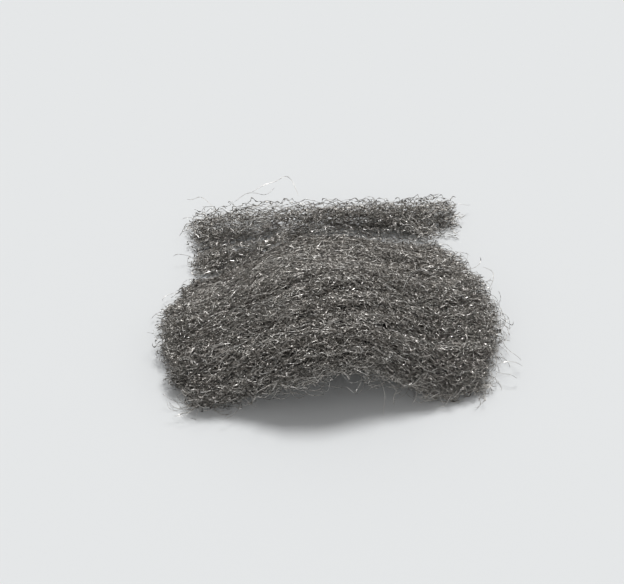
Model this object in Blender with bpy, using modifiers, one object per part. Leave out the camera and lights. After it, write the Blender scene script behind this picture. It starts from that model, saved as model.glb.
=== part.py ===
"""A steel wool fleece: locks of shaved steel strand that lie side by side and arch over the middle.

Metres, +Z up. The locks run along X between two cut ends, and the outermost strands of each lie
together in wisps with furrows between them. The front rim faces -Y, and one lock has parted from the
body at the back. The fleece rests on the flats under its two ends, and the origin
lies on that plane under the middle of its box.
"""

import math
from functools import partial

import bmesh
import bpy

MM = 0.001

# The body of the fleece, made of locks side by side. A place in it runs from 0, front, to 1, back
BODY_LENGTH = 96 * MM
BODY_LOCKS = 13
BODY_SPREAD = 50 * MM
BODY_FRONT = -21 * MM
LEFT_PINCH = 11 * MM
FRONT_THICKNESS = 13 * MM
CROWN_THICKNESS = 16 * MM
BACK_THICKNESS = 6.5 * MM
CROWN_PLACE = 0.35
LEFT_WIDEST_PLACE = 0.5
RIGHT_WIDEST_PLACE = 0.3
FRONT_DRAW_IN = 6 * MM
LEFT_BACK_DRAW_IN = 5 * MM
RIGHT_BACK_DRAW_IN = 9 * MM

# The arch between the two ends, and the flats that the wool's weight presses under them
FRONT_RISE = 12.8 * MM
BACK_RISE = 6.4 * MM
PARTED_RISE = 2.8 * MM
ARCH_SPAN = 64 * MM
ARCH_MIDDLE = -1.5 * MM
ARCH_POWER = 1.5
FOOT_FLATTENING = 1.8 * MM
FLOOR_BLOCK_DEPTH = 20 * MM

# The wisps on a lock's skin, by their angle around it: 0 faces back, a quarter turn up
WISP_THICKNESS = 4.2 * MM
WISP_HEIGHT = 1.8 * MM
WISP_TURN = 0.5
UP = math.pi / 2
INNER_WISPS = (UP, -UP)
FRONT_WISPS = (UP, 1.5 * UP, 2 * UP, 2.5 * UP, 3 * UP)
BACK_WISPS = (UP, 0, -UP)
PARTED_WISPS = (UP, 0, -UP, 2 * UP)

# The lock that has parted from the body along the back, and what still ties it to the body
PARTED_LENGTH = 85 * MM
PARTED_SHIFT = 3 * MM
PARTED_THICKNESS = 8.5 * MM
PARTED_GAP = 6.5 * MM
PARTED_BOW = 2.5 * MM
FAN_THICKNESS = 6.5 * MM
FAN_OVERLAP = 1.5 * MM
LEFT_FAN_LOCKS = 3
LEFT_FAN_LENGTH = 32 * MM
RIGHT_FAN_LENGTH = 24 * MM
BRIDGE_THICKNESS = 5 * MM
BRIDGE_LENGTH = 20 * MM
BRIDGE_MIDDLE = -1 * MM

# How each lock wanders, and how it ends
LOCK_WAVE = 1.1 * MM
LOCK_WAVE_LENGTH = 38 * MM
LOCK_WAVE_TURN = 1.9
LOCK_END_STAGGER = 1.3 * MM
LOCK_END_TAPER = 0.35
LOCK_TAPER_POWER = 8
POINT_SPACING = 3 * MM
TUBE_ROUNDNESS = 3

# How finely the fused surface is meshed
SURFACE_STEP = 1.1 * MM
SURFACE_TRIANGLES = 11500
SURFACE_SMOOTHING = 2
WELD_DISTANCE = 0.01 * MM

# The shaved steel
STEEL_COLOUR = (0.27, 0.25, 0.23, 1.0)
STEEL_ROUGHNESS = 0.45

# Where the parted lock's middle lies, and where a fan lies against the body's back lock
PARTED_MIDDLE = BODY_FRONT + BODY_SPREAD + (BACK_THICKNESS + PARTED_THICKNESS) / 2 + PARTED_GAP
FAN_SEAT = (BACK_THICKNESS + FAN_THICKNESS) / 2 - FAN_OVERLAP


def clear_scene():
    for obj in list(bpy.data.objects):
        bpy.data.objects.remove(obj, do_unlink=True)


def new_collection(name):
    collection = bpy.data.collections.new(name)
    bpy.context.scene.collection.children.link(collection)
    return collection


def shaved_steel():
    material = bpy.data.materials.new("shaved_steel")
    material.use_nodes = True
    shader = material.node_tree.nodes["Principled BSDF"]
    shader.inputs["Base Color"].default_value = STEEL_COLOUR
    shader.inputs["Metallic"].default_value = 1.0
    shader.inputs["Roughness"].default_value = STEEL_ROUGHNESS
    return material


def between(low, high, share):
    return low + (high - low) * share


def smooth_step(share):
    share = min(1.0, max(0.0, share))
    return share * share * (3 - 2 * share)


def off_peak(place, peak):
    """0 at the peak's place in the body, rising to 1 at its front and back."""
    reach = peak if place < peak else 1 - peak
    return ((place - peak) / reach) ** 2


def clear_height(x, rise):
    """How far a lock's underside stands above the surface that the fleece rests on."""
    reach = min(1.0, abs(x - ARCH_MIDDLE) / (ARCH_SPAN / 2))
    return rise * (1 - reach ** 2) ** ARCH_POWER


def body_place(place, x):
    """Where in Y the body's lock at this place runs: the back ones bend forward to the left."""
    pinch = LEFT_PINCH * place * smooth_step(-2 * x / BODY_LENGTH)
    return BODY_FRONT + BODY_SPREAD * place - pinch


def parted_place(x):
    """Where in Y the parted lock runs: its ends spring back."""
    return PARTED_MIDDLE + PARTED_BOW * (2 * (x - PARTED_SHIFT) / PARTED_LENGTH) ** 2


def add_tube(name, ends, centre_and_radius, collection):
    """A closed tube along X; centre_and_radius gives its place and size at a share of its length."""
    steps = max(1, round((ends[1] - ends[0]) / POINT_SPACING))
    curve = bpy.data.curves.new(name, "CURVE")
    curve.dimensions = "3D"
    curve.bevel_depth = MM
    curve.bevel_resolution = TUBE_ROUNDNESS
    curve.use_fill_caps = True
    spline = curve.splines.new("POLY")
    spline.points.add(steps)
    for step, point in enumerate(spline.points):
        (y, z), radius = centre_and_radius(step / steps)
        point.radius = radius / MM
        point.co = (between(ends[0], ends[1], step / steps), y, z, 1)
    tube = bpy.data.objects.new(name, curve)
    collection.objects.link(tube)
    return tube


def add_lock(number, ends, across, thickness, rise, collection, wisps=()):
    """One lock along X between its ends, and its wisps; across(x) is its place in Y."""
    left = ends[0] + LOCK_END_STAGGER * math.sin(LOCK_WAVE_TURN * number)
    right = ends[1] + LOCK_END_STAGGER * math.cos(LOCK_WAVE_TURN * number)
    height = WISP_HEIGHT if wisps else 0

    def taper(share):
        return 1 - LOCK_END_TAPER * abs(2 * share - 1) ** LOCK_TAPER_POWER

    def heart(share):
        x = between(left, right, share)
        wander = LOCK_WAVE * math.sin(math.tau * x / LOCK_WAVE_LENGTH + LOCK_WAVE_TURN * number)
        z = clear_height(x, rise) - FOOT_FLATTENING + taper(share) * thickness / 2
        return (across(x) + wander, z), taper(share) * (thickness / 2 - height)

    def wisp(angle, share):
        (y, z), _ = heart(share)
        reach = taper(share) * (thickness - WISP_THICKNESS) / 2
        turned = angle + WISP_TURN * math.sin(math.pi * (share - 0.5) + number)
        place = (y + reach * math.cos(turned), z + reach * math.sin(turned))
        return place, taper(share) * WISP_THICKNESS / 2

    tubes = [add_tube(f"lock_{number}", (left, right), heart, collection)]
    for angle in wisps:
        tubes.append(add_tube(f"wisp_{number}", (left, right), partial(wisp, angle), collection))
    return tubes


def body_lock(number, collection):
    """One lock of the body: thickest at the crown, longest where the fleece is widest."""
    place = number / (BODY_LOCKS - 1)
    rim_thickness = FRONT_THICKNESS if place < CROWN_PLACE else BACK_THICKNESS
    thickness = between(CROWN_THICKNESS, rim_thickness, off_peak(place, CROWN_PLACE))
    left_rim = FRONT_DRAW_IN if place < LEFT_WIDEST_PLACE else LEFT_BACK_DRAW_IN
    right_rim = FRONT_DRAW_IN if place < RIGHT_WIDEST_PLACE else RIGHT_BACK_DRAW_IN
    left = left_rim * off_peak(place, LEFT_WIDEST_PLACE) - BODY_LENGTH / 2
    right = BODY_LENGTH / 2 - right_rim * off_peak(place, RIGHT_WIDEST_PLACE)
    rise = between(FRONT_RISE, BACK_RISE, place)
    wisps = {0: FRONT_WISPS, BODY_LOCKS - 1: BACK_WISPS}.get(number, INNER_WISPS)

    def across(x):
        return body_place(place, x)

    return add_lock(number, (left, right), across, thickness, rise, collection, wisps)


def parted_lock(number, collection):
    ends = (PARTED_SHIFT - PARTED_LENGTH / 2, PARTED_SHIFT + PARTED_LENGTH / 2)
    return add_lock(
        number, ends, parted_place, PARTED_THICKNESS, PARTED_RISE, collection, PARTED_WISPS
    )


def left_fan(row, number, collection):
    """A lock that fans from the parted lock to the body's back left corner, the last row all the way."""
    start = PARTED_SHIFT - PARTED_LENGTH / 2

    def across(x):
        spread = smooth_step(1 - (x - start) / LEFT_FAN_LENGTH) * row / LEFT_FAN_LOCKS
        return between(parted_place(x), body_place(1, x) + FAN_SEAT, spread)

    ends = (start, start + LEFT_FAN_LENGTH)
    return add_lock(number, ends, across, FAN_THICKNESS, PARTED_RISE, collection)


def right_fan(number, collection):
    """The lock that leads from the parted lock back to the body's right end."""
    end = BODY_LENGTH / 2 - RIGHT_BACK_DRAW_IN
    start = end - RIGHT_FAN_LENGTH

    def across(x):
        spread = smooth_step((x - start) / RIGHT_FAN_LENGTH)
        return between(parted_place(x), body_place(1, x) + FAN_SEAT, spread)

    return add_lock(number, (start, end), across, FAN_THICKNESS, PARTED_RISE, collection)


def bridge(number, collection):
    """The lock that crosses from the parted lock to the body, between the two slits."""
    start = BRIDGE_MIDDLE - BRIDGE_LENGTH / 2

    def across(x):
        return between(parted_place(x), body_place(1, x), (x - start) / BRIDGE_LENGTH)

    ends = (start, start + BRIDGE_LENGTH)
    return add_lock(number, ends, across, BRIDGE_THICKNESS, PARTED_RISE, collection)


def all_locks(collection):
    locks = [body_lock(number, collection) for number in range(BODY_LOCKS)]
    locks.append(parted_lock(len(locks), collection))
    for row in range(1, LEFT_FAN_LOCKS + 1):
        locks.append(left_fan(row, len(locks), collection))
    locks.append(right_fan(len(locks), collection))
    locks.append(bridge(len(locks), collection))
    return [tube for tubes in locks for tube in tubes]


def joined(locks):
    """The locks' closed tubes in one mesh, still passing through each other; the curves are removed."""
    bpy.context.view_layer.update()
    graph = bpy.context.evaluated_depsgraph_get()
    tubes = bmesh.new()
    for lock in locks:
        tube = bpy.data.meshes.new_from_object(lock.evaluated_get(graph))
        tubes.from_mesh(tube)
        bpy.data.meshes.remove(tube)
    for lock in locks:
        bpy.data.objects.remove(lock, do_unlink=True)
    bmesh.ops.remove_doubles(tubes, verts=tubes.verts, dist=WELD_DISTANCE)
    mesh = bpy.data.meshes.new("steel_wool_fleece")
    tubes.to_mesh(mesh)
    tubes.free()
    return mesh


def floor_block(collection):
    """The block below the surface that the fleece rests on, wider than any fleece."""
    side = 2 * (BODY_LENGTH + PARTED_LENGTH + BODY_SPREAD)
    bpy.ops.mesh.primitive_cube_add(size=1, location=(0, 0, -FLOOR_BLOCK_DEPTH / 2))
    block = bpy.context.object
    block.name = "floor_block"
    block.scale = (side, side, FLOOR_BLOCK_DEPTH)
    block.hide_render = True
    block.display_type = "WIRE"
    for used in list(block.users_collection):
        used.objects.unlink(block)
    collection.objects.link(block)
    return block


def finished_points_and_triangles(obj):
    """The points, and the number of triangles, of an object with its modifiers so far."""
    bpy.context.view_layer.update()
    evaluated = obj.evaluated_get(bpy.context.evaluated_depsgraph_get())
    mesh = evaluated.to_mesh()
    points = [vertex.co.copy() for vertex in mesh.vertices]
    triangles = sum(len(face.vertices) - 2 for face in mesh.polygons)
    evaluated.to_mesh_clear()
    return points, triangles


def middle(values):
    return (min(values) + max(values)) / 2


def make_fleece():
    parts = new_collection("steel_wool_bundle")
    cutters = new_collection("cutters")
    fleece = bpy.data.objects.new("steel_wool_fleece", joined(all_locks(cutters)))
    fleece.data.materials.append(shaved_steel())
    parts.objects.link(fleece)

    fuse = fleece.modifiers.new("fuse_locks", "REMESH")
    fuse.mode = "VOXEL"
    fuse.voxel_size = SURFACE_STEP
    fuse.use_smooth_shade = True

    settle = fleece.modifiers.new("settle", "SMOOTH")
    settle.factor = 0.5
    settle.iterations = SURFACE_SMOOTHING

    _, triangles = finished_points_and_triangles(fleece)
    thin = fleece.modifiers.new("thin_out", "DECIMATE")
    thin.ratio = min(1.0, SURFACE_TRIANGLES / triangles)

    # The thinned surface may just touch itself between two locks, which the exact solver can't cut
    flatten = fleece.modifiers.new("flat_feet", "BOOLEAN")
    flatten.operation = "DIFFERENCE"
    flatten.solver = "MANIFOLD"
    flatten.object = floor_block(cutters)

    points, _ = finished_points_and_triangles(fleece)
    middle_x = middle([point.x for point in points])
    middle_y = middle([point.y for point in points])
    fleece.location = (-middle_x, -middle_y, 0)


clear_scene()
make_fleece()
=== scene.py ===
"""Looks of the steel wool bundle: kinked strands of shaved steel, laid along the fleece's locks.

Metres, +Z up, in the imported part's frame. The strands run along X between two cut ends, the front
rim faces -Y, and one lock has parted from the body along the back.
"""

import math
from functools import partial

import bpy
import numpy as np
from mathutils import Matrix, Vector
from mathutils.bvhtree import BVHTree
from mathutils.kdtree import KDTree


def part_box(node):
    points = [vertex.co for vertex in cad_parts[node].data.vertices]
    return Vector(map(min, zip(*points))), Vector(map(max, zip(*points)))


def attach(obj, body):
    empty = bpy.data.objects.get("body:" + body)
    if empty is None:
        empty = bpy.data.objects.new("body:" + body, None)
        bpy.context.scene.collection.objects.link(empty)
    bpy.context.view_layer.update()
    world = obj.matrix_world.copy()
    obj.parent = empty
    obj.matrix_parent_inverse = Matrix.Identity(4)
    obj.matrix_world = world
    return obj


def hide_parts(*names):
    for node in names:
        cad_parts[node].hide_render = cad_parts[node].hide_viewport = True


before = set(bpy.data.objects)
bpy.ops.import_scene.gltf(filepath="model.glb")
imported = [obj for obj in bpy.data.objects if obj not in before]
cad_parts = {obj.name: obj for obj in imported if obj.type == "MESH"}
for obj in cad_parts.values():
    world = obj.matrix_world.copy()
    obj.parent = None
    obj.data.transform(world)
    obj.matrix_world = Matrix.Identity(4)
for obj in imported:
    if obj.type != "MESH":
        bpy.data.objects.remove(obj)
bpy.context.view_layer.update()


# The fleece's form
# A pad of steel wool is a fleece of long strands, combed flat, folded and cut to length. It has no
# core and nothing binds it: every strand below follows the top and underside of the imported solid.
MM = 0.001
GRID_STEP = 1 * MM
GRID_MARGIN = 8 * MM
LAST_CELL = 1.001
RAY_CLEARANCE = 1.0
WOOL_EDGE = 0.5
THINNEST_WOOL = 1e-6
DOWNWARD = -0.5
UNDERSIDE_SHARE = 0.5

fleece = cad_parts["steel_wool_fleece"]
fleece_low, fleece_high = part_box("steel_wool_fleece")
random = np.random.default_rng(20)


def fleece_surface():
    bpy.context.view_layer.update()
    return BVHTree.FromObject(fleece, bpy.context.evaluated_depsgraph_get())


def read_skins(surface):
    """The fleece's underside and top over a grid, and where there is wool between them.

    Beside the wool both go on as they are at its nearest edge.
    """
    xs = np.arange(fleece_low.x - GRID_MARGIN, fleece_high.x + GRID_MARGIN, GRID_STEP)
    ys = np.arange(fleece_low.y - GRID_MARGIN, fleece_high.y + GRID_MARGIN, GRID_STEP)
    under, top, wool = np.zeros((3, len(xs), len(ys)))
    above, below = fleece_high.z + RAY_CLEARANCE, fleece_low.z - RAY_CLEARANCE
    for row, x in enumerate(xs):
        for column, y in enumerate(ys):
            down = surface.ray_cast(Vector((x, y, above)), Vector((0, 0, -1)))[0]
            if down is not None:
                up = surface.ray_cast(Vector((x, y, below)), Vector((0, 0, 1)))[0]
                under[row, column], top[row, column] = up.z, down.z
                wool[row, column] = 1
    cells = np.argwhere(wool > 0)
    edge = KDTree(len(cells))
    for number, (row, column) in enumerate(cells):
        edge.insert((row, column, 0), number)
    edge.balance()
    for row, column in np.argwhere(wool == 0):
        nearest = tuple(cells[edge.find((row, column, 0))[1]])
        under[row, column], top[row, column] = under[nearest], top[nearest]
    return (xs[0], ys[0]), under, top, wool


surface = fleece_surface()
grid_corner, under_grid, top_grid, wool_grid = read_skins(surface)


def on_grid(grid, x, y):
    """The grid's value at each place, blended from the four points round it.

    A place past the grid's edge takes the value of its last cell.
    """
    rows = np.clip((np.asarray(x) - grid_corner[0]) / GRID_STEP, 0, grid.shape[0] - LAST_CELL)
    columns = np.clip((np.asarray(y) - grid_corner[1]) / GRID_STEP, 0, grid.shape[1] - LAST_CELL)
    row, column = rows.astype(int), columns.astype(int)
    down_row, along_column = rows - row, columns - column
    near = grid[row, column] * (1 - down_row) + grid[row + 1, column] * down_row
    far = grid[row, column + 1] * (1 - down_row) + grid[row + 1, column + 1] * down_row
    return near * (1 - along_column) + far * along_column


def height_in_wool(x, y, z):
    """How far up a place lies, from 0 at the wool's underside to 1 at its top."""
    under, top = on_grid(under_grid, x, y), on_grid(top_grid, x, y)
    return (z - under) / max(top - under, THINNEST_WOOL)


def up_the_wool(x, y, share):
    """The height in metres at this share of the way from the wool's underside to its top."""
    under, top = on_grid(under_grid, x, y), on_grid(top_grid, x, y)
    return under + (top - under) * share


def wool_anchors(count, reach, inside_share):
    """Places in the wool, most of them within reach of its outside and few on its underside."""
    found = []
    while len(found) < count:
        spot = [random.uniform(fleece_low[axis], fleece_high[axis]) for axis in range(3)]
        x, y, z = spot
        if on_grid(wool_grid, x, y) < WOOL_EDGE:
            continue
        if not on_grid(under_grid, x, y) < z < on_grid(top_grid, x, y):
            continue
        _, outward, _, depth = surface.find_nearest(Vector(spot))
        seen = 1 if outward.z > DOWNWARD else UNDERSIDE_SHARE
        if random.random() < inside_share + (1 - inside_share) * seen * math.exp(-depth / reach):
            found.append(spot)
    return np.array(found)


def smooth_step(share):
    share = np.clip(share, 0, 1)
    return share * share * (3 - 2 * share)


# The shaved steel
# Strands are shaved from low-carbon steel wire with serrated blades, which leaves them three-edged,
# bright and springy. A film of oil and a little oxide give the grey a warm, dull cast.
STRAND_TONES = ("#76716b", "#b3aea8", "#e8e4de", "#fffdf9")
TONE_STOPS = (0.0, 0.4, 0.75, 1.0)
STEEL_ROUGHNESS = (0.6, 0.36)
TONE_MAP = "OFBake"


def linear(hex_colour):
    """An sRGB hex colour as linear light, with full alpha."""
    levels = [int(hex_colour[start:start + 2], 16) / 255 for start in (1, 3, 5)]
    light = [v / 12.92 if v <= 0.04045 else ((v + 0.055) / 1.055) ** 2.4 for v in levels]
    return (*light, 1.0)


def add_node(tree, kind, settings=(), links=()):
    """Adds a node: settings are its properties or sockets by name, links are its inputs' sources."""
    node = tree.nodes.new(kind)
    for name, value in dict(settings).items():
        if name in node.inputs:
            node.inputs[name].default_value = value
        else:
            setattr(node, name, value)
    for name, source in dict(links).items():
        tree.links.new(source, node.inputs[name])
    return node


def shaved_steel():
    """Each strand's tone is its place across the tone map: dark and dull to bright and sharp."""
    material = bpy.data.materials.new("shaved_steel")
    material.use_nodes = True
    tree = material.node_tree
    tree.nodes.clear()
    tone = add_node(tree, "ShaderNodeUVMap", {"uv_map": TONE_MAP})
    across = add_node(tree, "ShaderNodeSeparateXYZ", links={"Vector": tone.outputs["UV"]})
    ramp = add_node(tree, "ShaderNodeValToRGB", links={"Fac": across.outputs["X"]})
    while len(ramp.color_ramp.elements) < len(STRAND_TONES):
        ramp.color_ramp.elements.new(0.5)
    for stop, place, colour in zip(ramp.color_ramp.elements, TONE_STOPS, STRAND_TONES):
        stop.position = place
        stop.color = linear(colour)
    rough = add_node(
        tree, "ShaderNodeMapRange",
        {"To Min": STEEL_ROUGHNESS[0], "To Max": STEEL_ROUGHNESS[1]},
        {"Value": across.outputs["X"]},
    )
    shader = add_node(
        tree, "ShaderNodeBsdfPrincipled", {"Metallic": 1.0},
        {"Base Color": ramp.outputs["Color"], "Roughness": rough.outputs["Result"]},
    )
    add_node(tree, "ShaderNodeOutputMaterial", links={"Surface": shader.outputs["BSDF"]})
    return material


steel = shaved_steel()


# The locks of the body
# Hundreds of strands lie side by side in each lock. The blade leaves every strand crimped in all
# directions, so the locks hold together by their crimps alone and the outside is a mat of curls.
STRAND_WIDTHS = (0.075 * MM, 0.125 * MM)
STRAND_STEP = 0.48 * MM
STRAND_TONE_SHAPE = (1.2, 1.3)
BRIGHTEST = 0.97
TWIST_CORNERS = (150, 400)
TAPER_CORNERS = 3
TIP_SHARE = 0.2
NEVER_ZERO = 1e-9
TONE_STRIP = 0.003
CRIMPS = ((1.5 * MM, 0.8), (3.5 * MM, 0.6))
WALK_ALLOWANCE = 3
KNOTS_AHEAD = 4
BACK_CALM = 0.4
RISE_SHARE = 0.7
LANE_HOLD = (12 * MM, 5 * MM)
LOOSE_SKIN = 0.5 * MM
RIM_REACH = 42 * MM
RIM_SMOOTH = 4
BODY_DEPTH = 59.6 * MM
BODY_EDGE = 0.985
LEFT_PINCH = 11.5 * MM
HALF_LENGTH = 48 * MM
CUT_SEARCH = 58
LEFT_DRAW = 1.0 * MM
LEFT_STAGGER = 1.6 * MM
RIGHT_DRAW = 0.5 * MM
RIGHT_STAGGER = 3.5 * MM
END_SQUARE = 2.5 * MM
OPEN_RIM_LANES = 0.08
OPEN_RIM_HEIGHT = 0.5
OPEN_RIM_SHARE = 0.6
RIGHT_TUFT_EVERY = 3
GROUP_CORNERS = 99_000


def front_rim():
    """Where the front rim runs in Y, at each X of the grid. Past the feet it runs straight on."""
    xs = grid_corner[0] + GRID_STEP * np.arange(wool_grid.shape[0])
    feet = np.clip(np.arange(len(xs)), *np.searchsorted(xs, (-RIM_REACH, RIM_REACH)))
    first = np.array([np.argmax(wool_grid[row] > 0) for row in feet])
    smooth = np.convolve(np.pad(first, RIM_SMOOTH, "edge"), np.ones(2 * RIM_SMOOTH + 1), "valid")
    return xs, grid_corner[1] + GRID_STEP * smooth / (2 * RIM_SMOOTH + 1)


rim_xs, rim_ys = front_rim()


def body_back(x):
    """Where the body's back runs in Y: at the left it bends forward."""
    return fleece_low.y + BODY_DEPTH - LEFT_PINCH * smooth_step(-x / HALF_LENGTH)


def body_lane(place, x):
    """Where in Y the wool at this place runs, from 0 at the front rim to 1 at the body's back."""
    front = np.interp(x, rim_xs, rim_ys)
    return front + (body_back(x) - front) * place


def eased(before, start, end, after, part):
    """A smooth way from start to end, led by the values on either side, at each part of it."""
    bend = 2 * before - 5 * start + 4 * end - after
    swing = 3 * (start - end) + after - before
    return start + ((end - before) * part + bend * part ** 2 + swing * part ** 3) / 2


def wander(along, spacing, size):
    """A smooth random value along a strand that is drawn afresh, with this size, every spacing."""
    place = along / spacing + random.random()
    knot = place.astype(int)
    drawn = random.normal(0, size, knot[-1] + KNOTS_AHEAD)
    return eased(*(drawn[knot + ahead] for ahead in range(KNOTS_AHEAD)), place - knot)


def held(offset, hold, step):
    """An offset from the lane with its slow drift taken out, so the strand keeps coming back."""
    half = max(1, int(hold / step / 2))
    padded = np.pad(offset, half, "edge")
    return offset - np.convolve(padded, np.ones(2 * half + 1) / (2 * half + 1), "valid")


def crimped(length, step, crimps):
    """How far along, across and up a crimped strand is at each step, up to this length along."""
    travelled = np.arange(int(WALK_ALLOWANCE * length / step)) * step
    turn = sum(wander(travelled, *crimp) for crimp in crimps)
    rise = RISE_SHARE * sum(wander(travelled, *crimp) for crimp in crimps)
    along = np.cumsum(np.cos(turn) * np.cos(rise)) * step
    across = held(np.cumsum(np.sin(turn) * np.cos(rise)) * step, LANE_HOLD[0], step)
    up = held(np.cumsum(np.sin(rise)) * step, LANE_HOLD[1], step)
    past = np.flatnonzero(along > length)
    count = past[0] if len(past) else len(along)
    return along[:count], across[:count], up[:count]


def strand_corners(line, width):
    """Corners of a three-edged strand along a line: each lies a third of a turn on from the last."""
    along = np.gradient(line, axis=0)
    along /= np.linalg.norm(along, axis=1, keepdims=True)
    side = np.cross(along, (0, 0, 1))
    side /= np.maximum(np.linalg.norm(side, axis=1, keepdims=True), NEVER_ZERO)
    rise = np.cross(side, along)
    count = len(line)
    twist = random.random() + np.arange(count) / random.uniform(*TWIST_CORNERS)
    turn = math.tau * (np.arange(count) / 3 + twist)
    from_end = np.minimum(np.arange(count), np.arange(count)[::-1])
    radius = width / math.sqrt(3) * np.clip((from_end + 1) / TAPER_CORNERS, TIP_SHARE, 1)
    offset = np.cos(turn)[:, None] * side + np.sin(turn)[:, None] * rise
    return line + radius[:, None] * offset


def strands_mesh(name, strands):
    """One mesh of closed strands from (corners, tone) pairs, each strand a strip of the tone map.

    Every third corner lies on the same edge of the strand, and a side joins the corners of two edges.
    """
    corners = np.concatenate([points for points, _ in strands])
    sides, places, start = [], [], 0
    for points, tone in strands:
        count = len(points)
        rows = start + np.arange(count - 4)
        sides.append(np.stack([rows, rows + 1, rows + 4, rows + 3], 1))
        last = start + count - 4
        caps = [[start, start + 3, start + 2, start + 1], [last, last + 1, last + 2, last + 3]]
        sides.append(np.array(caps))
        across = tone + TONE_STRIP * (np.arange(count) % 3)
        places.append(np.stack([across, np.arange(count) / count], 1))
        start += count
    faces = np.concatenate(sides)
    mesh = bpy.data.meshes.new(name)
    mesh.vertices.add(len(corners))
    mesh.vertices.foreach_set("co", corners.astype(np.float32).ravel())
    mesh.loops.add(faces.size)
    mesh.loops.foreach_set("vertex_index", faces.ravel())
    mesh.polygons.add(len(faces))
    mesh.polygons.foreach_set("loop_start", np.arange(len(faces)) * 4)
    mesh.polygons.foreach_set("loop_total", np.full(len(faces), 4))
    mesh.update(calc_edges=True)
    tone_map = mesh.uv_layers.new(name=TONE_MAP)
    tone_map.uv.foreach_set("vector", np.concatenate(places)[faces.ravel()].astype(np.float32).ravel())
    mesh.shade_smooth()
    return mesh


def add_strands(name, strands):
    piece = bpy.data.objects.new(name, strands_mesh(name, strands))
    piece.data.materials.append(steel)
    bpy.context.scene.collection.objects.link(piece)
    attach(piece, "root")
    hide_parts("steel_wool_fleece")


def cut_to_wool(lane):
    """The ends in X of a strand along a lane.

    The left end is cut fairly clean. At the right most strands stop short, so the wool thins out there.
    """
    x = np.arange(-CUT_SEARCH, CUT_SEARCH) * GRID_STEP
    over = np.flatnonzero(on_grid(wool_grid, x, lane(x)) > WOOL_EDGE)
    left = x[over[0]] + LEFT_DRAW + random.normal(0, LEFT_STAGGER)
    right = x[over[-1]] + RIGHT_DRAW - abs(random.normal(0, RIGHT_STAGGER))
    return left, right


def lay_strand(lane, height, ends, width, step=STRAND_STEP, crimps=CRIMPS, part=(0, None)):
    """The line of a strand on a lane at a share of the wool's height, from one cut end to the other.

    A part of it starts this far from the left end, or from the right end where that is negative.
    """
    start = ends[0] + part[0] if part[0] >= 0 else ends[1] + part[0]
    length = ends[1] - start if part[1] is None else part[1]
    along, across, up = crimped(length, step, crimps)
    x = start + along
    y = lane(x)
    square_x = np.clip(x, ends[0] + END_SQUARE, ends[1] - END_SQUARE)
    under = on_grid(under_grid, square_x, y) - LOOSE_SKIN
    top = on_grid(top_grid, square_x, y) + LOOSE_SKIN
    z = np.maximum(under + (top - under) * height + up, width)
    return np.stack([x, y + across, z], 1)


def random_width():
    return random.uniform(*STRAND_WIDTHS)


def random_tone():
    return random.beta(*STRAND_TONE_SHAPE) * BRIGHTEST


def place_in_body(x, y):
    """How far back a place lies, from 0 at the front rim to 1 at the body's back."""
    front = np.interp(x, rim_xs, rim_ys)
    return (y - front) / (body_back(x) - front)


def body_strands(corner_budget, reach, inside_share):
    """Strands in the body, drawn until the corners of all strands reach the budget.

    The front rim's lower half is left open, with fewer of them.
    """
    made, used = [], 0
    while used < corner_budget:
        x, y, z = wool_anchors(1, reach, inside_share)[0]
        place = place_in_body(x, y)
        height = height_in_wool(x, y, z)
        at_open_rim = place < OPEN_RIM_LANES and height < OPEN_RIM_HEIGHT
        left_out = at_open_rim and random.random() < OPEN_RIM_SHARE
        if place > BODY_EDGE or left_out:
            continue
        lane = partial(body_lane, place)
        width = random_width()
        calm = 1 - BACK_CALM * smooth_step(place)
        crimps = [(spacing, size * calm) for spacing, size in CRIMPS]
        line = lay_strand(lane, height, cut_to_wool(lane), width, crimps=crimps)
        made.append((place, strand_corners(line, width), random_tone()))
        used += len(line)
    return made


def end_tufts(count, length):
    """Short strands that fill the cut ends from the underside to the top, two in three at the left."""
    made = []
    for number in range(count):
        place = random.uniform(0, 1)
        lane = partial(body_lane, place)
        part = (0, length) if number % RIGHT_TUFT_EVERY else (-length, None)
        width = random_width()
        line = lay_strand(lane, random.random(), cut_to_wool(lane), width, part=part)
        made.append((place, strand_corners(line, width), random_tone()))
    return made


body = body_strands(corner_budget=362_000, reach=1.1 * MM, inside_share=0.03)
body += end_tufts(520, 13 * MM)
body.sort(key=lambda strand: strand[0])
groups, group, used = [], [], 0
for place, corners, tone in body:
    if used + len(corners) > GROUP_CORNERS:
        groups.append(group)
        group, used = [], 0
    group.append((corners, tone))
    used += len(corners)
groups.append(group)
for number, strands in enumerate(groups, 1):
    add_strands(f"body_locks_{number}", strands)


# The heart of the body
# The wool inside is the same as outside. Only its shadow shows, so its strands are drawn thicker and
# straighter than they are, with fewer corners, and stay under the outer curls. They also take only the
# darkest tones, as painted shade for the deep wool.
HEART_WIDTH = 0.5 * MM
HEART_STEP = 1.6 * MM
HEART_CRIMPS = ((8 * MM, 0.25),)
HEART_DEPTH = 2.0 * MM
HEART_LANES = (0.1, 0.94)
HEART_SHORTER = (5 * MM, 7 * MM)
# The heart's tone stays near the dark end of the tone map: painted shade, not a darker steel.
HEART_SHADE_TONE = 0.1


def heart_strands(corner_budget):
    """Strands well under the body's outside, a little shorter than the rest and painted dark as shade."""
    made, used = [], 0
    while used < corner_budget:
        x, y, z = wool_anchors(1, reach=1.0, inside_share=1.0)[0]
        depth = surface.find_nearest(Vector((x, y, z)))[3]
        place = place_in_body(x, y)
        if depth < HEART_DEPTH or not HEART_LANES[0] < place < HEART_LANES[1]:
            continue
        lane = partial(body_lane, place)
        ends = cut_to_wool(lane)
        ends = (ends[0] + HEART_SHORTER[0], ends[1] - HEART_SHORTER[1])
        height = height_in_wool(x, y, z)
        line = lay_strand(lane, height, ends, HEART_WIDTH, HEART_STEP, HEART_CRIMPS)
        made.append((strand_corners(line, HEART_WIDTH), HEART_SHADE_TONE * random.random()))
        used += len(line)
    return made


add_strands("body_heart", heart_strands(corner_budget=28_000))


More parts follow.
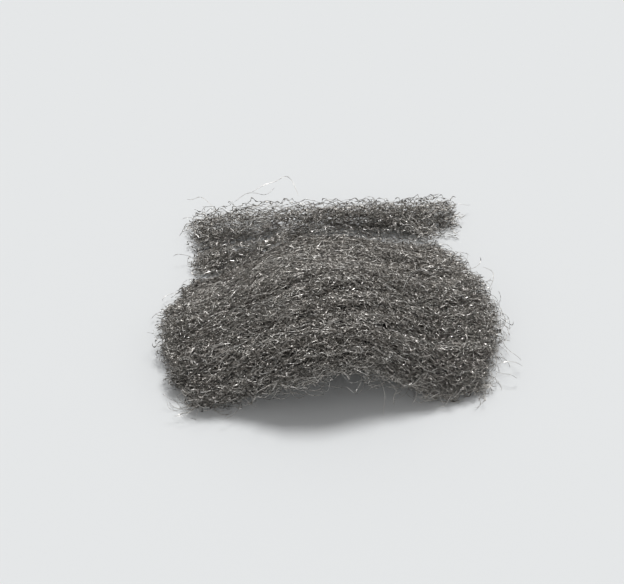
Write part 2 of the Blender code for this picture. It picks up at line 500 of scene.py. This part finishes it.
# The parted lock
# One lock has pulled away from the body along the back. Its strands fan out again towards the body at
# both ends, and a few still cross the slit between.
PARTED_INSET = 3.05 * MM
PARTED_HALF = 3.4 * MM
PARTED_SPLAY = 0.8
PARTED_SHIFT = 3 * MM
PARTED_REACH = 42.5 * MM
PARTED_BOW = 2.5 * MM
LEFT_FAN = (4 * MM, 22 * MM)
RIGHT_FAN = (22 * MM, 17 * MM)
FAN_GATHER = 0.65
GATHER_PACE = 3
LEFT_FAN_SHARE = 0.5
RIGHT_FAN_SHARE = 0.3
VEIL_SHARE = 0.05
LOCK_SPREAD = 0.55
LOOSE_SHARE = 0.22
LOOSE_SPREAD = 1.0
LOOSE_LIMIT = 1.5
LOOSE_RISE = 0.35
ARCH_SHARE = 0.5
ARCH_HEIGHT = 2.3 * MM
ARCH_LIMIT = 6 * MM
ARCH_MIDDLE = -15 * MM
ARCH_REACH = 19 * MM
ARCH_WAY = (0.75, 0.65)
LEFT_BUNDLES = (0.1, 0.6, 0.66, 1.05)
BUNDLE_SPREAD = 0.035
FAN_REACH = 1.05
FAN_TUFT_SPREAD = 0.6
FAN_TUFT_CUT = (0.6, 1)


def parted_lane(across, left_fan, right_fan, veil, x):
    """Where in Y a strand of the lock runs. Each share says how far it goes over to the body.

    The fans are its two ends, each given by where it starts and over what length it goes over, and the
    veil is its stretch along the slit.
    """
    from_middle = ((x - PARTED_SHIFT) / PARTED_REACH) ** 2
    lane = fleece_high.y - PARTED_INSET - PARTED_BOW * (1 - from_middle)
    left = (left_fan - veil) * smooth_step((LEFT_FAN[0] - x) / LEFT_FAN[1])
    right = (right_fan - veil) * smooth_step((x - RIGHT_FAN[0]) / RIGHT_FAN[1])
    over = veil + left + right
    gathered = 1 - FAN_GATHER * smooth_step(GATHER_PACE * over)
    spread = PARTED_HALF * (1 + PARTED_SPLAY * from_middle) * gathered
    return lane + across * spread + over * (body_back(x) - lane)


def left_bundle():
    """How far one of the left fan's bundles goes over to the body, with open wool between them."""
    return random.choice(LEFT_BUNDLES) + random.normal(0, BUNDLE_SPREAD)


def place_in_lock():
    """How far across and up the lock a strand lies: some are loose, and stand off the rest."""
    loose = random.random() < LOOSE_SHARE
    across = random.normal(0, LOOSE_SPREAD if loose else LOCK_SPREAD)
    return np.clip(across, -LOOSE_LIMIT, LOOSE_LIMIT), random.random() * (1 + LOOSE_RISE * loose)


def arched(line):
    """Lifts a strand out over the lock's back, where the lock is loosest."""
    height = min(random.exponential(ARCH_HEIGHT), ARCH_LIMIT) if random.random() < ARCH_SHARE else 0
    loosened = height * np.exp(-((line[:, 0] - ARCH_MIDDLE) / ARCH_REACH) ** 2)
    line[:, 1:] += loosened[:, None] * ARCH_WAY
    return line


def parted_strands(corner_budget):
    """Strands of the lock, drawn until the corners of all strands reach the budget."""
    made, used = [], 0
    while used < corner_budget:
        left_fan = left_bundle() if random.random() < LEFT_FAN_SHARE else 0
        right_fan = random.random() if random.random() < RIGHT_FAN_SHARE else 0
        veil = random.random() if random.random() < VEIL_SHARE else 0
        shares = (max(left_fan, veil), max(right_fan, veil), veil)
        across, height = place_in_lock()
        ends = cut_to_wool(partial(parted_lane, 0, *shares))
        width = random_width()
        line = lay_strand(partial(parted_lane, across, *shares), height, ends, width)
        if not left_fan:
            line = arched(line)
        made.append((strand_corners(line, width), random_tone()))
        used += len(line)
    return made


def fan_tufts(count, length, side, bundled):
    """Short strands that fill a fan between the lock and the body, at the left (-1) or right (1)."""
    made = []
    for _ in range(count):
        share = left_bundle() if bundled else random.uniform(0, FAN_REACH)
        shares = (share, 0, 0) if side < 0 else (0, share, 0)
        ends = cut_to_wool(partial(parted_lane, 0, *shares))
        lane = partial(parted_lane, random.normal(0, FAN_TUFT_SPREAD), *shares)
        part = (0, random.uniform(*FAN_TUFT_CUT) * length) if side < 0 else (-length, None)
        width = random_width()
        line = lay_strand(lane, random.random(), ends, width, part=part)
        made.append((strand_corners(line, width), random_tone()))
    return made


fans = fan_tufts(90, 24 * MM, side=-1, bundled=True)
fans += fan_tufts(120, 10 * MM, side=-1, bundled=False)
fans += fan_tufts(35, 18 * MM, side=1, bundled=False)
add_strands("parted_lock", parted_strands(corner_budget=34_000) + fans)


# The strands drawn out over the locks
# Handling pulls some strands straighter and lays them over the mat at a slant, with both ends tucked
# in. Their bright tones are a painted highlight, so they show as thin bright lines.
DRAWN_LENGTHS = (3 * MM, 9 * MM)
LONG_DRAWN_LENGTHS = (8 * MM, 18 * MM)
DRAWN_BENDS = ((4 * MM, 0.45), (1.6 * MM, 0.3))
DRAWN_SLANT = 0.65
DRAWN_LIFT = (0.4 * MM, 1.3 * MM)
DRAWN_TUCK = 1.6 * MM
TUCK_SHARPNESS = 4
DRAWN_REACH = 0.5 * MM
DRAWN_FACING = 0.3
# Bright tones that paint the highlight along each drawn strand.
DRAWN_HIGHLIGHT_TONES = (0.6, 0.97)


def drawn_strand(root, outward, length):
    """A strand over the top, or under the underside, that starts at the root and tucks in again.

    One that would leave the wool isn't drawn.
    """
    travelled = np.arange(0, length, STRAND_STEP)
    turn = random.normal(0, DRAWN_SLANT) + sum(wander(travelled, *bend) for bend in DRAWN_BENDS)
    x = root[0] + np.cumsum(np.cos(turn)) * STRAND_STEP
    y = root[1] + np.cumsum(np.sin(turn)) * STRAND_STEP
    skin, side = (top_grid, 1) if outward.z > 0 else (under_grid, -1)
    arc = np.sin(math.pi * travelled / length)
    lift = random.uniform(*DRAWN_LIFT) * arc - DRAWN_TUCK * (1 - arc) ** TUCK_SHARPNESS
    z = np.maximum(on_grid(skin, x, y) + side * lift, STRAND_WIDTHS[1])
    return np.stack([x, y, z], 1)


def drawn_strands(count, lengths, wider):
    """Strands over the top and the underside, this much wider than the rest, painted bright as
    highlights.
    """
    made = []
    for root in wool_anchors(count, DRAWN_REACH, 0):
        outward = surface.find_nearest(Vector(root))[1]
        if abs(outward.z) > DRAWN_FACING:
            line = drawn_strand(root, outward, random.uniform(*lengths))
            if on_grid(wool_grid, line[:, 0], line[:, 1]).min() > 0:
                corners = strand_corners(line, wider * random_width())
                made.append((corners, random.uniform(*DRAWN_HIGHLIGHT_TONES)))
    return made


drawn = drawn_strands(1250, DRAWN_LENGTHS, wider=1.1)
drawn += drawn_strands(70, LONG_DRAWN_LENGTHS, wider=1.4)
add_strands("drawn_strands", drawn)


# The stray strands
# Cutting and handling also pull strands loose. Short ones spring out of every side as open loops. Longer
# ones hang from the front rim, run along it as a fringe, arch over the parted lock and stand out of the
# right cut end. Their tones lean bright, a painted sheen on the loose curls.
STRAY_LENGTHS = (2.5 * MM, 8 * MM)
STRAY_ROOTS = 0.6 * MM
STRAY_REACH = 9 * MM
STRAY_CORNERS = 5
# The strays' tones lean bright: a painted sheen, not a brighter steel.
STRAY_SHEEN_TONE_SHAPE = (4, 2)
STRAY_RISE = 0.8
STRAY_SWAY = 0.5
STRAY_BENDS = ((6 * MM, 0.7), (2.2 * MM, 0.45))
LOCK_WAY_SPREAD = (0.5, 0.2)
RIM_LENGTHS = (5 * MM, 13 * MM)
RIM_ROOTS = (0.5 * MM, 3 * MM)
RIM_HEIGHTS = (0, 0.6)
RIM_SPREAD = 0.4
RIM_DROOP = -0.35
FRINGE_LENGTHS = (9 * MM, 22 * MM)
FRINGE_STARTS = (12 * MM, 70 * MM)
FRINGE_LANES = (-0.03, 0)
FRINGE_HEIGHTS = (-0.15, 0.45)
FRINGE_CRIMPS = ((1.8 * MM, 0.7), (4 * MM, 0.6))
LOCK_LOOP_LENGTHS = (4 * MM, 11 * MM)
LOCK_LOOP_START = 0.9
LOCK_LOOP_SPAN = 1.85
LOCK_LOOP_ACROSS = (0.2, 0.9)
LOCK_LOOP_HEIGHTS = (0.3, 1)
LOCK_LOOP_RISE = 1.4
LOOSE_END_LENGTHS = (5 * MM, 12 * MM)
LOOSE_END_ROOTS = (1 * MM, 4 * MM)
LOOSE_END_LANES = (0, 0.55)
LOOSE_END_SIDEWAYS = 0.4
LOOSE_END_RISE = (0.1, 0.2)
LOOSE_END_CURL = (0.5, 1, 0.3)


def stray_strand(root, outward, ahead, length):
    """A loop that leaves the wool at its root, turns as it goes and comes back towards it."""
    aside = outward.cross(ahead).normalized()
    ahead = aside.cross(outward).normalized()
    travelled = np.arange(0, length, STRAND_STEP)
    turn = sum(wander(travelled, *bend) for bend in STRAY_BENDS)
    rise = STRAY_RISE * (1 - 2 * travelled / length)
    rise += STRAY_SWAY * sum(wander(travelled, *bend) for bend in STRAY_BENDS)
    headings = (
        (np.cos(rise) * np.cos(turn))[:, None] * np.array(ahead)
        + (np.cos(rise) * np.sin(turn))[:, None] * np.array(aside)
        + np.sin(rise)[:, None] * np.array(outward)
    )
    line = np.array(root) + np.cumsum(headings, axis=0) * STRAND_STEP
    line[:, 2] = np.maximum(line[:, 2], STRAND_WIDTHS[1])
    return line


def along_the_locks():
    """A direction either way along the locks, with some spread across and up."""
    across, up = LOCK_WAY_SPREAD
    return Vector((random.choice((-1, 1)), random.normal(0, across), random.normal(0, up)))


# A tone that leans bright, painting the sheen on a loose strand.
def stray_sheen_tone():
    return random.beta(*STRAY_SHEEN_TONE_SHAPE) * BRIGHTEST


def finished_stray(line):
    """A stray strand of this line, broken off where it would stand too far out of the fleece."""
    low, high = np.array(fleece_low) - STRAY_REACH, np.array(fleece_high) + STRAY_REACH
    outside = np.flatnonzero(((line < low) | (line > high)).any(axis=1))
    line = line[:max(outside[0], STRAY_CORNERS)] if len(outside) else line
    return strand_corners(line, random_width()), stray_sheen_tone()


def sprung_strands(count):
    """Short open loops on every side of the wool."""
    made = []
    for root in wool_anchors(count, STRAY_ROOTS, 0):
        outward = surface.find_nearest(Vector(root))[1]
        length = random.uniform(*STRAY_LENGTHS)
        made.append(finished_stray(stray_strand(root, outward, along_the_locks(), length)))
    return made


def rim_curls(count):
    """Open curls that hang out of the front rim's lower half."""
    made = []
    for _ in range(count):
        x = random.uniform(-RIM_REACH, RIM_REACH)
        y = np.interp(x, rim_xs, rim_ys) + random.uniform(*RIM_ROOTS)
        root = (x, y, up_the_wool(x, y, random.uniform(*RIM_HEIGHTS)))
        outward = Vector((random.normal(0, RIM_SPREAD), -1, RIM_DROOP)).normalized()
        length = random.uniform(*RIM_LENGTHS)
        made.append(finished_stray(stray_strand(root, outward, along_the_locks(), length)))
    return made


def rim_fringe(count):
    """Thin strands that run along the front rim, a little off it."""
    made = []
    for _ in range(count):
        lane = partial(body_lane, random.uniform(*FRINGE_LANES))
        part = (random.uniform(*FRINGE_STARTS), random.uniform(*FRINGE_LENGTHS))
        ends = (-RIM_REACH, RIM_REACH)
        width = random_width()
        height = random.uniform(*FRINGE_HEIGHTS)
        line = lay_strand(lane, height, ends, width, crimps=FRINGE_CRIMPS, part=part)
        made.append((strand_corners(line, width), stray_sheen_tone()))
    return made


def lock_loops(count):
    """Open loops that arch out over the parted lock's back, most of them near its left end."""
    made = []
    for _ in range(count):
        along = LOCK_LOOP_START - LOCK_LOOP_SPAN * math.sqrt(random.random())
        x = PARTED_SHIFT + PARTED_REACH * along
        y = parted_lane(random.uniform(*LOCK_LOOP_ACROSS), 0, 0, 0, x)
        root = (x, y, on_grid(top_grid, x, y) * random.uniform(*LOCK_LOOP_HEIGHTS))
        outward = Vector((0, 1, random.uniform(0, LOCK_LOOP_RISE))).normalized()
        length = random.uniform(*LOCK_LOOP_LENGTHS)
        made.append(finished_stray(stray_strand(root, outward, along_the_locks(), length)))
    return made


def loose_ends(count):
    """Thin open strands that stand out of the front half of the right cut end."""
    made = []
    for _ in range(count):
        place = random.uniform(*LOOSE_END_LANES)
        x = cut_to_wool(partial(body_lane, place))[1] - random.uniform(*LOOSE_END_ROOTS)
        y = body_lane(place, x)
        root = (x, y, up_the_wool(x, y, random.random()))
        sideways, rise = random.normal(0, LOOSE_END_SIDEWAYS), random.normal(*LOOSE_END_RISE)
        outward = Vector((1, sideways, rise)).normalized()
        along, across, up = LOOSE_END_CURL
        ahead = Vector((along, random.normal(0, across), random.normal(0, up)))
        length = random.uniform(*LOOSE_END_LENGTHS)
        made.append(finished_stray(stray_strand(root, outward, ahead, length)))
    return made


strays = sprung_strands(1300) + rim_curls(380) + lock_loops(110) + loose_ends(260)
add_strands("stray_strands", strays + rim_fringe(60))


# The strands that stand alone
# A few long strands show singly against what lies behind them: over the back, at the right end, under
# the rim and across the body. Each starts in the wool and runs through these places, in millimetres.
ALONE_WIDTH = 0.13 * MM
# Bright tones that paint the highlight along each lone strand.
ALONE_HIGHLIGHT_TONES = (0.7, 0.95)
OVER_THE_BACK = (
    ((-30.5, 36.5, 8), (-32, 39, 8.5), (-33.5, 41, 9), (-35.5, 43, 9), (-38, 43, 8), (-40, 44.5, 7)),
    ((-25, 39.5, 9), (-21, 42, 10), (-18, 42, 10), (-15.5, 42, 9), (-13.5, 44, 8), (-11.5, 46.5, 8)),
    ((-20, 43, 9), (-15, 45.5, 10), (-11, 47, 10), (-8, 49, 10), (-6, 47.5, 9), (-4.5, 41.5, 8)),
)
AT_THE_RIGHT_END = (
    ((48, 6, 7), (50, 4, 7.5), (50.5, 2, 8), (50, -0.5, 7.5), (48, -3.5, 6)),
    ((46, -29.5, 3), (48.5, -29.5, 4), (51.5, -29.5, 3.5), (54, -30, 2)),
    ((45, -32, 3), (48, -34, 4), (49.5, -34.5, 4), (51, -35, 3), (51.5, -34, 2)),
    ((32, -33, 3), (33.5, -35.5, 3), (35.5, -37, 2.5), (37, -37.5, 2), (39.5, -36.5, 1.5)),
)
UNDER_THE_RIM = (
    ((10.5, -34, 8), (12, -37, 7), (12.5, -39.5, 5), (12, -41.5, 3), (11.5, -44, 1)),
    ((17, -33, 7), (16.5, -37, 6), (15, -39.5, 4), (15, -41.5, 2)),
    ((22, -31.5, 7), (21.5, -36.5, 6), (21.5, -39.5, 4), (20, -41, 2)),
    ((24, -34, 6), (23.5, -39.5, 3), (24.5, -39, 2), (25.5, -40.5, 1)),
    ((28.5, -34, 5), (28, -38.5, 4), (28.5, -40, 2), (29.5, -41.5, 1)),
    ((-17, -33.5, 6), (-12, -32.5, 7), (-9, -31.5, 8), (-6.5, -31, 9), (-3, -29, 11)),
)
ACROSS_THE_BODY = (
    ((-30.5, -32, 12), (-29, -31.5, 14), (-27.5, -31, 15), (-25, -30.5, 16.5), (-23.5, -30, 16)),
    ((-42, -28, 10), (-41.5, -26.5, 12), (-40.5, -24.5, 12.8), (-38.5, -22, 12.5), (-37, -21, 11)),
    (
        (20.5, -12, 16), (21.5, -10, 18), (23.5, -5.5, 17),
        (25.5, -1.5, 14.5), (28.5, 0.5, 13), (33.5, -2, 11),
    ),
    ((-18, -19, 19), (-16.5, -18.5, 21.3), (-12, -16.5, 23), (-7.5, -15.5, 23.4), (-5, -15, 22)),
)


def alone_strand(places):
    """A strand that runs smoothly through these places, painted bright as a highlight."""
    knots = MM * np.array(places)
    knots = np.vstack([2 * knots[0] - knots[1], knots, 2 * knots[-1] - knots[-2]])
    stretches = []
    for before, start, end, after in zip(knots, knots[1:], knots[2:], knots[3:]):
        part = np.arange(0, 1, STRAND_STEP / np.linalg.norm(end - start))[:, None]
        stretches.append(eased(before, start, end, after, part))
    return strand_corners(np.concatenate(stretches), ALONE_WIDTH), random.uniform(*ALONE_HIGHLIGHT_TONES)


every_place = OVER_THE_BACK + AT_THE_RIGHT_END + UNDER_THE_RIM + ACROSS_THE_BODY
add_strands("strands_alone", [alone_strand(places) for places in every_place])


# The studio
# A wide pale floor of painted board, under a soft key light and a plain white world, with a camera at the
# height and distance that the pad was seen from.
FLOOR_SIZE = 60.0
FLOOR_COLOUR = "#e9ebec"
FLOOR_ROUGHNESS = 0.9
KEY_STRENGTH = 2.05
KEY_SPREAD = 0.34
KEY_PLACE = (0.1, 0.33, 0.8)
WORLD_COLOUR = "#ffffff"
WORLD_STRENGTH = 0.36
CAMERA_PLACE = (-33.2 * MM, -301.4 * MM, 326.5 * MM)
CAMERA_AIM = (-4.9 * MM, -6.7 * MM, 14.6 * MM)
CAMERA_LENS = 85.56
CAMERA_SENSOR = 36


def add_floor():
    bpy.ops.mesh.primitive_plane_add(size=FLOOR_SIZE)
    floor = bpy.context.object
    floor.name = "floor"
    material = bpy.data.materials.new("painted_board")
    material.use_nodes = True
    shader = material.node_tree.nodes["Principled BSDF"]
    shader.inputs["Base Color"].default_value = linear(FLOOR_COLOUR)
    shader.inputs["Roughness"].default_value = FLOOR_ROUGHNESS
    floor.data.materials.append(material)


def aim(thing, place, target):
    """Sets a light or camera at its place, turned towards the target."""
    thing.location = place
    thing.rotation_euler = (Vector(target) - Vector(place)).to_track_quat("-Z", "Y").to_euler()
    bpy.context.scene.collection.objects.link(thing)


def add_key_light():
    lamp = bpy.data.lights.new("key_light", "SUN")
    lamp.energy = KEY_STRENGTH
    lamp.angle = KEY_SPREAD
    aim(bpy.data.objects.new("key_light", lamp), KEY_PLACE, (0, 0, 0))


def add_world():
    world = bpy.data.worlds.new("soft_studio")
    world.use_nodes = True
    background = world.node_tree.nodes["Background"]
    background.inputs["Color"].default_value = linear(WORLD_COLOUR)
    background.inputs["Strength"].default_value = WORLD_STRENGTH
    bpy.context.scene.world = world


def add_camera():
    camera = bpy.data.objects.new("camera", bpy.data.cameras.new("camera"))
    camera.data.lens = CAMERA_LENS
    camera.data.sensor_width = CAMERA_SENSOR
    aim(camera, CAMERA_PLACE, CAMERA_AIM)
    bpy.context.scene.camera = camera


add_floor()
add_key_light()
add_world()
add_camera()
bpy.context.scene.view_settings.view_transform = "Standard"
